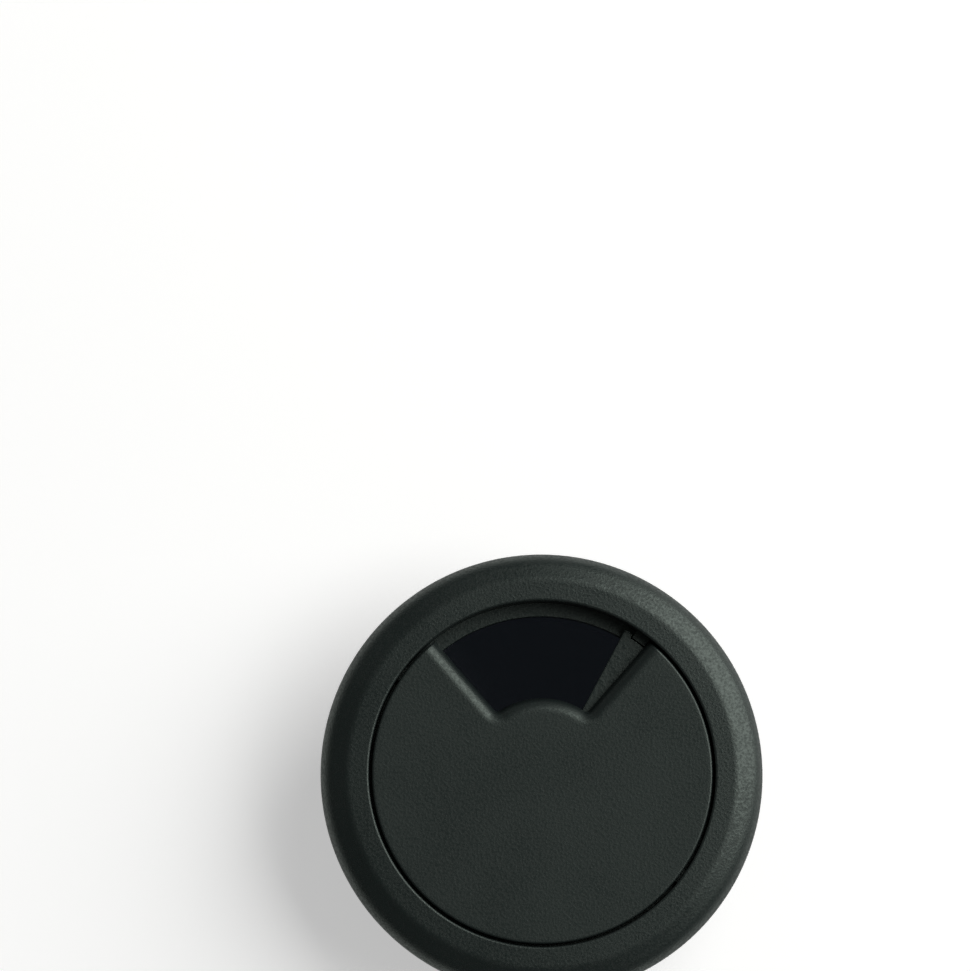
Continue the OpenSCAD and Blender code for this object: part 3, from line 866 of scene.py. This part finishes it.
def sky(scene, s):
    """The studio's even walls: pale at the horizon and dim overhead, by the height of the direction."""
    scene.world = scene.world or bpy.data.worlds.new("studio")
    scene.world.use_nodes = True
    tree = scene.world.node_tree
    tree.nodes.clear()
    rise = add(tree, "SeparateXYZ", {0: add(tree, "TexCoord", {}).outputs["Generated"]})
    dim_from = 0.4  # sine of the angle above the horizon from which the sky is dim
    level = add(tree, "MapRange", {
        "Value": rise.outputs["Z"], "From Min": 0.0, "From Max": dim_from,
        "To Min": s.sky_low, "To Max": s.sky_high,
    }, interpolation_type="SMOOTHSTEP")
    light = add(tree, "Background", {"Color": [1, 1, 1, 1], "Strength": level.outputs["Result"]})
    out = tree.nodes.new("ShaderNodeOutputWorld")
    tree.links.new(light.outputs[0], out.inputs["Surface"])


def looking(place, target, up):
    """Matrix of something at place that looks at target along its own -Z, with its +Y towards up."""
    ahead = (target - place).normalized()
    right = ahead.cross(up).normalized()
    over = right.cross(ahead)
    return Matrix.Translation(place) @ Matrix((right, over, -ahead)).transposed().to_4x4()


# ---- operators


class GROMMET_OT_liner(Operator):
    """Builds the flange, seat and sleeve as one moulding in place of the CAD liner"""

    bl_idname = "grommet.liner"
    bl_label = "Build liner"

    def execute(self, context):
        piece = skin("liner_moulding", liner_grid(context.scene.grommet_liner), wrap=True)
        s = context.scene.grommet_finish
        finish = spark_eroded_abs("spark_eroded_abs_liner", s, s.grain_h, s.gloss)
        stand_for(piece, "liner", "liner", finish)
        return {"FINISHED"}


class GROMMET_OT_shutter(Operator):
    """Builds the keyed shutter disc with its port, skirt and webs in place of the CAD shutter"""

    bl_idname = "grommet.shutter"
    bl_label = "Build shutter disc"

    def execute(self, context):
        piece = skin("shutter_moulding", shutter_grid(context.scene.grommet_shutter), wrap=True)
        s = context.scene.grommet_finish
        finish = spark_eroded_abs("spark_eroded_abs_shutter", s, s.grain_h, s.gloss)
        stand_for(piece, "shutter_disc", "insert", finish)
        return {"FINISHED"}


class GROMMET_OT_cap(Operator):
    """Builds the cap with its rolled cable window, post and stop lug in place of the CAD cap"""

    bl_idname = "grommet.cap"
    bl_label = "Build cap"

    def execute(self, context):
        piece = skin("cap_moulding", cap_grid(context.scene.grommet_cap), wrap=False)
        s = context.scene.grommet_finish
        finish = spark_eroded_abs("spark_eroded_abs_cap", s, s.cap_grain_h, s.cap_gloss)
        stand_for(piece, "cap", "cap", finish)
        return {"FINISHED"}


class GROMMET_OT_pivot(Operator):
    """Builds the wave washer and the flat washer, and plates the pivot screw"""

    bl_idname = "grommet.pivot"
    bl_label = "Build pivot hardware"

    def execute(self, context):
        s, finish = context.scene.grommet_pivot, context.scene.grommet_finish
        wave = washer_grid(
            s.wave_in, s.wave_out, s.wave_mid, s.wave_t, s.wave_edge, s.wave_rise, s.wave_count
        )
        flat = washer_grid(s.flat_in, s.flat_out, s.flat_low + s.flat_t / 2, s.flat_t, s.flat_edge)
        strip, plate = rolled_spring_steel(finish), zinc_plated_steel(finish)
        stand_for(skin("wave_spring", wave, wrap=True), "wave_washer", "cap", strip)
        stand_for(skin("plain_washer", flat, wrap=True), "flat_washer", "cap", plate)
        for slot in frame["nodes"]["pivot_screw"].material_slots:
            slot.material = plate
        return {"FINISHED"}


class GROMMET_OT_stage(Operator):
    """Lays the floor round a dim pit, hangs the lamp, lights the sky and sets up the camera"""

    bl_idname = "grommet.stage"
    bl_label = "Set stage"

    def execute(self, context):
        scene, s = context.scene, context.scene.grommet_stage
        foot, turn = scene.grommet_liner.foot_z, around(128)
        # the floor's edge, a ring near the grommet, the hole under the sleeve, and the floor's thickness
        floor_r, near_r, hole_r, slab_t = 1.5, 0.2, 28.7 * MM, 0.1 * MM
        low = foot - slab_t
        slab = np.array([[floor_r, foot], [near_r, foot], [hole_r, foot], [hole_r, low], [floor_r, low]])
        floor = skin("floor", turned(turn, slab[:, 0], slab[:, 1]), wrap=True)
        floor.data.materials.append(floor_finish(s))
        axis_r, pit_r, wall_t, pit_h = 0.1 * MM, hole_r + 0.1 * MM, MM, 30 * MM
        rim_z, base_z = foot - slab_t / 2, foot - pit_h
        wall = np.array([
            [axis_r, base_z - wall_t], [pit_r + wall_t, base_z - wall_t], [pit_r + wall_t, rim_z],
            [pit_r, rim_z], [pit_r, base_z], [axis_r, base_z],
        ])
        pit = skin("pit", turned(turn, wall[:, 0], wall[:, 1]).transpose(1, 0, 2), wrap=False)
        pit.data.materials.append(pit_finish(s))

        key = bpy.data.lights.new("key_lamp", "AREA")
        key.shape, key.size, key.energy = "SQUARE", s.key_size, s.key_power
        lamp = bpy.data.objects.new("key_lamp", key)
        toward = Vector((
            math.cos(s.key_rise) * math.cos(s.key_turn), math.cos(s.key_rise) * math.sin(s.key_turn),
            math.sin(s.key_rise),
        ))
        lamp.matrix_world = looking(toward * s.key_far, Vector(), Vector((0, 0, 1)))
        lamp.visible_camera = False
        scene.collection.objects.link(lamp)
        sky(scene, s)

        lens = bpy.data.cameras.new("camera")
        lens.sensor_width = 36
        lens.lens = lens.sensor_width * s.camera_far / s.view_w
        lens.clip_start, lens.clip_end = 0.05, 20
        camera = bpy.data.objects.new("camera", lens)
        lean = Vector((-math.sin(s.lean_x), -math.sin(s.lean_y), 0))
        lean.z = math.sqrt(1 - lean.length_squared)
        aim = Vector((s.aim_x, s.aim_y, scene.grommet_cap.top_z))
        camera.matrix_world = looking(lean * s.camera_far, aim, Vector((0, 1, 0)))
        scene.collection.objects.link(camera)
        scene.camera = camera
        scene.view_settings.view_transform = "Standard"
        return {"FINISHED"}


class GROMMET_PT_panel(Panel):
    """Lists the steps that build the grommet"""

    bl_idname = "GROMMET_PT_panel"
    bl_label = "Desk grommet"
    bl_space_type = "VIEW_3D"
    bl_region_type = "UI"
    bl_category = "Grommet"

    def draw(self, context):
        for step in STEPS:
            self.layout.operator(step.bl_idname)


STEPS = (GROMMET_OT_liner, GROMMET_OT_shutter, GROMMET_OT_cap, GROMMET_OT_pivot, GROMMET_OT_stage)
SETTINGS = {
    "grommet_liner": LinerSizes,
    "grommet_shutter": ShutterSizes,
    "grommet_cap": CapSizes,
    "grommet_pivot": PivotSizes,
    "grommet_finish": FinishSettings,
    "grommet_stage": StageSettings,
}


def register():
    """Makes the settings, the operators and the panel known."""
    for name, group in SETTINGS.items():
        bpy.utils.register_class(group)
        setattr(bpy.types.Scene, name, PointerProperty(type=group))
    for step in (*STEPS, GROMMET_PT_panel):
        bpy.utils.register_class(step)


def unregister():
    """Takes back what register made known."""
    for step in (GROMMET_PT_panel, *reversed(STEPS)):
        bpy.utils.unregister_class(step)
    for name, group in reversed(SETTINGS.items()):
        delattr(bpy.types.Scene, name)
        bpy.utils.unregister_class(group)


def main():
    """Builds every piece and the stage."""
    register()
    bpy.ops.grommet.liner()
    bpy.ops.grommet.shutter()
    bpy.ops.grommet.cap()
    bpy.ops.grommet.pivot()
    bpy.ops.grommet.stage()


if __name__ == "__main__":
    main()
